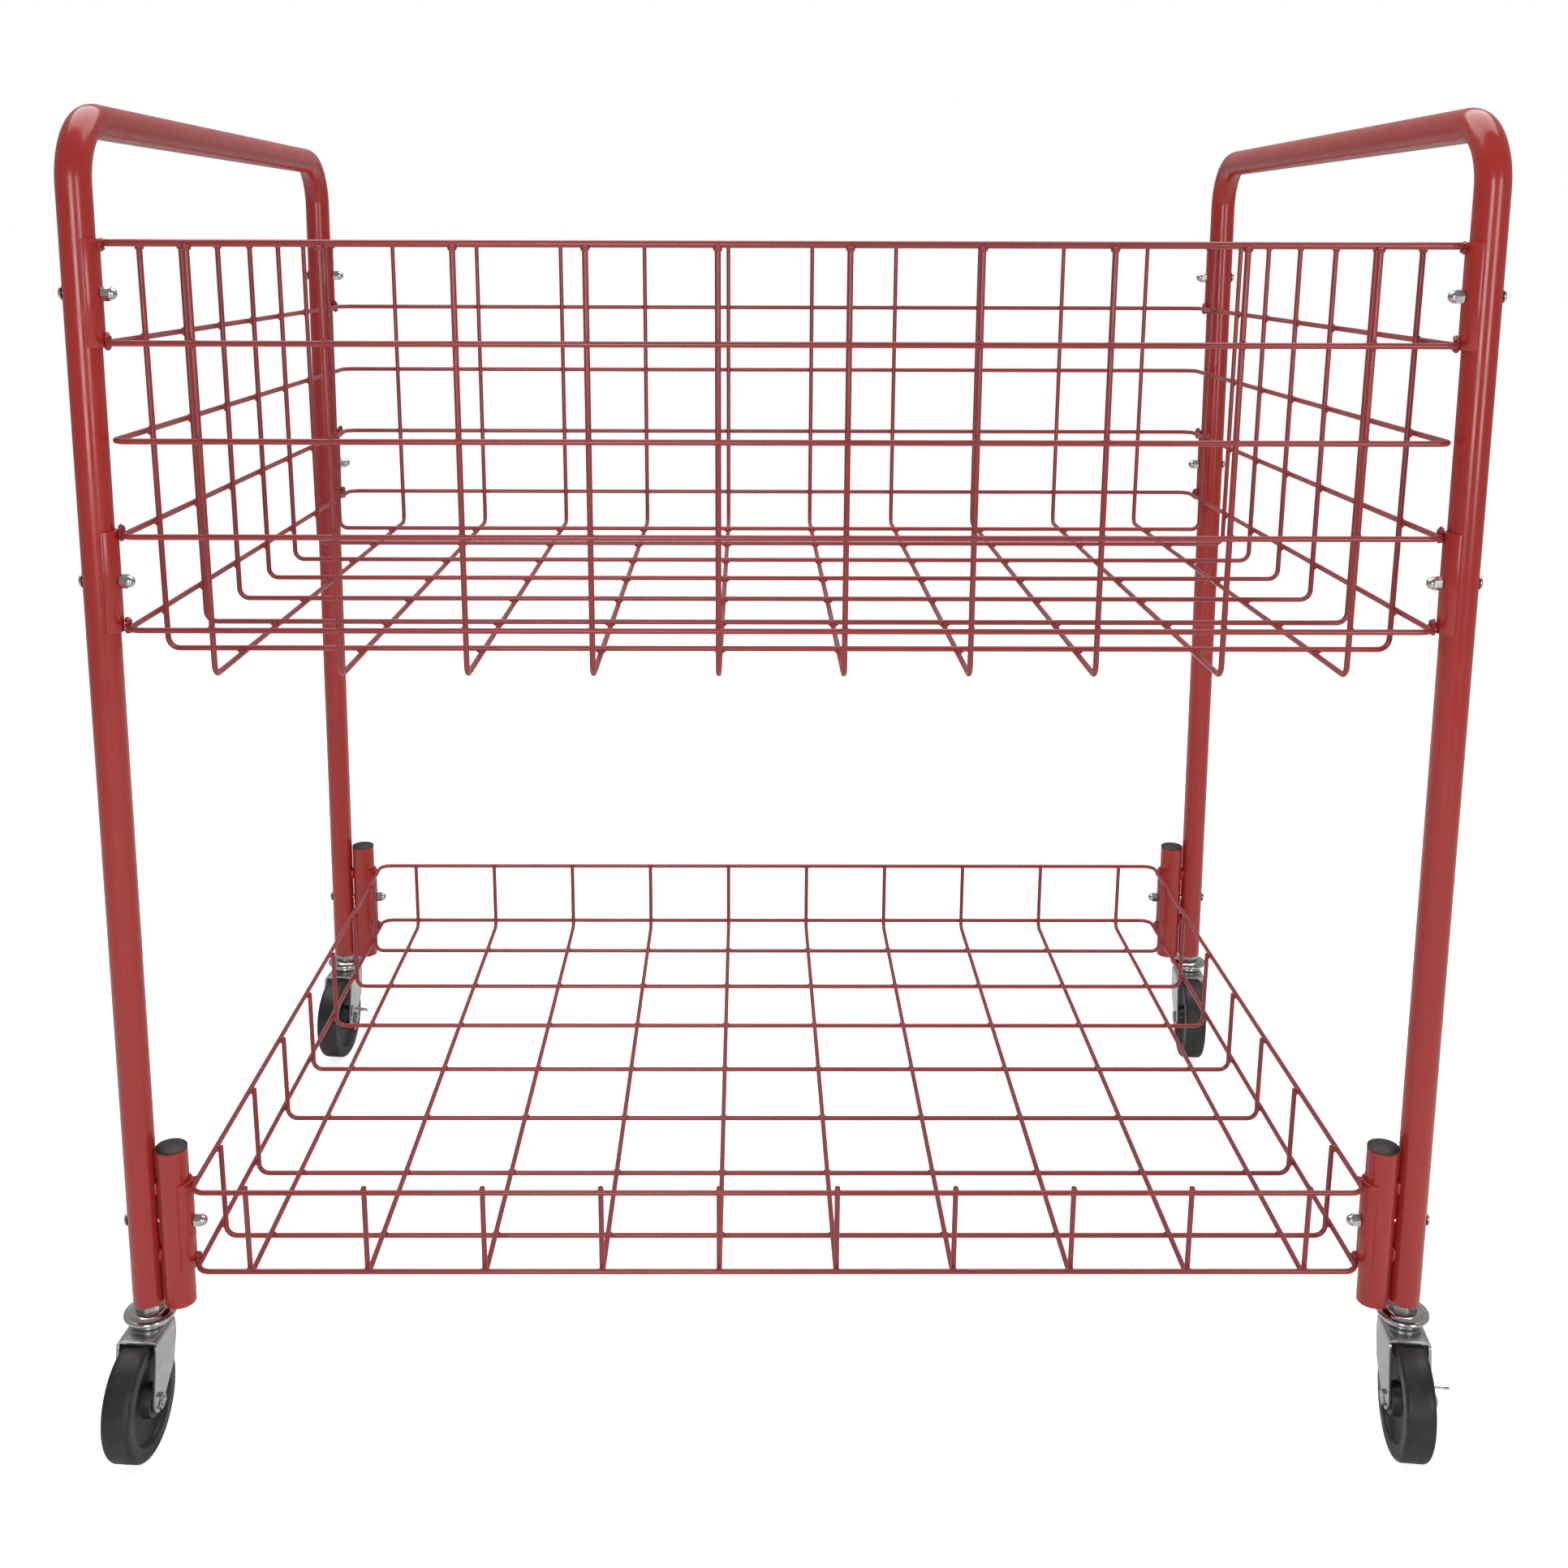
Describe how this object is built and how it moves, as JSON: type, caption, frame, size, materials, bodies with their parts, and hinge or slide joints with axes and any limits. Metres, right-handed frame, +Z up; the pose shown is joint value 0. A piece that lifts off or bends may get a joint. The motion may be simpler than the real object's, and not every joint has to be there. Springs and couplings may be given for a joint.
{
  "type": "book cart",
  "caption": "Rolling wire-basket book cart: bent-tube end frames with push handles, a deep upper basket, a shallow lower basket and swivel casters.",
  "frame": {"origin": "on the floor, midway between the four casters", "axes": "+X along the cart from the left end frame to the right one, +Y from the side that the casters trail to towards the back, +Z up"},
  "size_m": [1.1567, 0.8334, 1.1299],
  "materials": {
    "red_paint": "glossy red powder coat",
    "bright_chrome": "bright chrome plate",
    "zinc_plate": "bright zinc plate on stamped steel",
    "zinc_hardware": "zinc plated turned steel",
    "black_wheel": "hard black rubber, satin",
    "black_plastic": "black moulded plastic"
  },
  "bodies": {
    "cart_frame": {"end_frame_left": "red_paint", "end_frame_right": "red_paint", "stub_tube_front_left": "red_paint", "stub_tube_front_right": "red_paint", "stub_tube_back_left": "red_paint", "stub_tube_back_right": "red_paint", "stub_cap_front_left": "black_plastic", "stub_cap_front_right": "black_plastic", "stub_cap_back_left": "black_plastic", "stub_cap_back_right": "black_plastic", "spacer_tabs": "red_paint", "leg_inserts": "zinc_hardware", "upper_basket_front": "red_paint", "upper_basket_back": "red_paint", "upper_basket_left": "red_paint", "upper_basket_right": "red_paint", "upper_basket_floor": "red_paint", "upper_saddles": "red_paint", "lower_basket_front": "red_paint", "lower_basket_back": "red_paint", "lower_basket_left": "red_paint", "lower_basket_right": "red_paint", "lower_basket_floor": "red_paint", "lower_saddles": "red_paint", "frame_bolts": "bright_chrome", "acorn_nuts": "bright_chrome", "upper_races": "bright_chrome", "bearing_balls": "bright_chrome", "caster_stem_front_left": "zinc_hardware", "caster_stem_front_right": "zinc_hardware", "caster_stem_back_left": "zinc_hardware", "caster_stem_back_right": "zinc_hardware"},
    "swivel_front_left": {"fork_front_left": "zinc_plate", "lower_race_front_left": "bright_chrome", "axle_bolt_front_left": "zinc_hardware", "axle_nut_front_left": "zinc_hardware", "axle_bush_front_left": "zinc_hardware"},
    "rolling_front_left": {"wheel_front_left": "black_wheel"},
    "swivel_front_right": {"fork_front_right": "zinc_plate", "lower_race_front_right": "bright_chrome", "axle_bolt_front_right": "zinc_hardware", "axle_nut_front_right": "zinc_hardware", "axle_bush_front_right": "zinc_hardware"},
    "rolling_front_right": {"wheel_front_right": "black_wheel"},
    "brake_front_right": {"brake_lever_front_right": "zinc_plate"},
    "swivel_back_left": {"fork_back_left": "zinc_plate", "lower_race_back_left": "bright_chrome", "axle_bolt_back_left": "zinc_hardware", "axle_nut_back_left": "zinc_hardware", "axle_bush_back_left": "zinc_hardware"},
    "rolling_back_left": {"wheel_back_left": "black_wheel"},
    "brake_back_left": {"brake_lever_back_left": "zinc_plate"},
    "swivel_back_right": {"fork_back_right": "zinc_plate", "lower_race_back_right": "bright_chrome", "axle_bolt_back_right": "zinc_hardware", "axle_nut_back_right": "zinc_hardware", "axle_bush_back_right": "zinc_hardware"},
    "rolling_back_right": {"wheel_back_right": "black_wheel"}
  },
  "joints": [
    {"name": "swivel_turn_front_left", "type": "hinge", "parent": "cart_frame", "child": "swivel_front_left", "pos_m": [-0.5485, -0.3635, 0.104], "axis": [0, 0, 1], "continuous": true},
    {"name": "wheel_spin_front_left", "type": "hinge", "parent": "swivel_front_left", "child": "rolling_front_left", "pos_m": [-0.55087, -0.39742, 0.05], "axis": [0.9976, -0.0698, 0], "continuous": true},
    {"name": "swivel_turn_front_right", "type": "hinge", "parent": "cart_frame", "child": "swivel_front_right", "pos_m": [0.5485, -0.3635, 0.104], "axis": [0, 0, 1], "continuous": true},
    {"name": "wheel_spin_front_right", "type": "hinge", "parent": "swivel_front_right", "child": "rolling_front_right", "pos_m": [0.54436, -0.39725, 0.05], "axis": [0.9925, -0.1219, 0], "continuous": true},
    {"name": "brake_press_front_right", "type": "hinge", "parent": "swivel_front_right", "child": "brake_front_right", "pos_m": [0.54436, -0.39725, 0.05], "axis": [0.9925, -0.1219, 0], "range_deg": [-35, 0]},
    {"name": "swivel_turn_back_left", "type": "hinge", "parent": "cart_frame", "child": "swivel_back_left", "pos_m": [-0.5485, 0.3635, 0.104], "axis": [0, 0, 1], "continuous": true},
    {"name": "wheel_spin_back_left", "type": "hinge", "parent": "swivel_back_left", "child": "rolling_back_left", "pos_m": [-0.55205, 0.32969, 0.05], "axis": [0.9945, -0.1045, 0], "continuous": true},
    {"name": "brake_press_back_left", "type": "hinge", "parent": "swivel_back_left", "child": "brake_back_left", "pos_m": [-0.55205, 0.32969, 0.05], "axis": [0.9945, -0.1045, 0], "range_deg": [-35, 0]},
    {"name": "swivel_turn_back_right", "type": "hinge", "parent": "cart_frame", "child": "swivel_back_right", "pos_m": [0.5485, 0.3635, 0.104], "axis": [0, 0, 1], "continuous": true},
    {"name": "wheel_spin_back_right", "type": "hinge", "parent": "swivel_back_right", "child": "rolling_back_right", "pos_m": [0.54554, 0.32963, 0.05], "axis": [0.9962, -0.0872, 0], "continuous": true}
  ]
}
